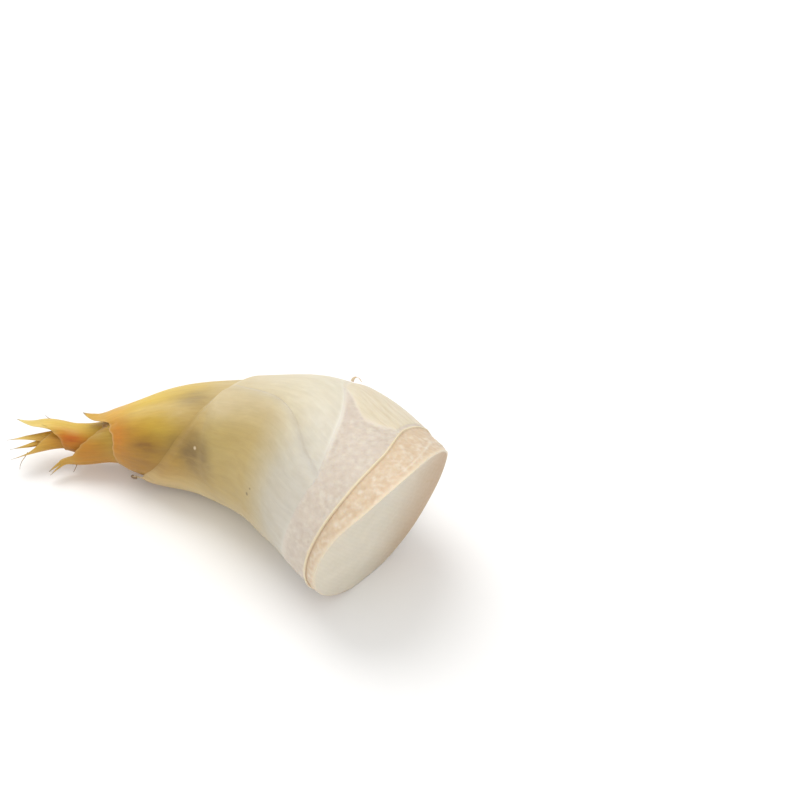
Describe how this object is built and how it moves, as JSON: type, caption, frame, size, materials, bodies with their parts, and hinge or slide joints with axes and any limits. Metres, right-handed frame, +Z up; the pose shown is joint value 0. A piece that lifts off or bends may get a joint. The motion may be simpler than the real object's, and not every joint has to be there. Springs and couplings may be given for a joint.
{
  "type": "bamboo shoot",
  "caption": "Fresh horn-shaped bamboo shoot lying on its side: pale flesh cut off square at the thick end, wrapped in culm sheaths that taper to pointed leafy tips.",
  "frame": {"origin": "on the small flat patch of the belly that the shoot rests on, under its weight", "axes": "+Z up, +X along the shoot towards the cut thick end, so the tip points to -X"},
  "size_m": [0.1891, 0.0914, 0.0717],
  "materials": {
    "core": "moist satin flesh, cream with a pink-tan root band",
    "sheath_1": "smooth satin sheath, cream to tan with grey-brown blotches",
    "sheath_2": "satin sheath, golden yellow with olive patches",
    "sheath_3": "satin sheath, olive gold",
    "sheath_4": "satin sheath, orange to gold",
    "sheath_5": "satin inner leaf, golden with brown point",
    "sheath_6": "satin inner leaf, golden with brown point",
    "sheath_7": "satin inner leaf, golden with brown point"
  },
  "bodies": {
    "root": {"core": "core", "sheath_1": "sheath_1", "sheath_2": "sheath_2", "sheath_3": "sheath_3", "sheath_4": "sheath_4", "sheath_5": "sheath_5", "sheath_6": "sheath_6", "sheath_7": "sheath_7"}
  },
  "joints": []
}
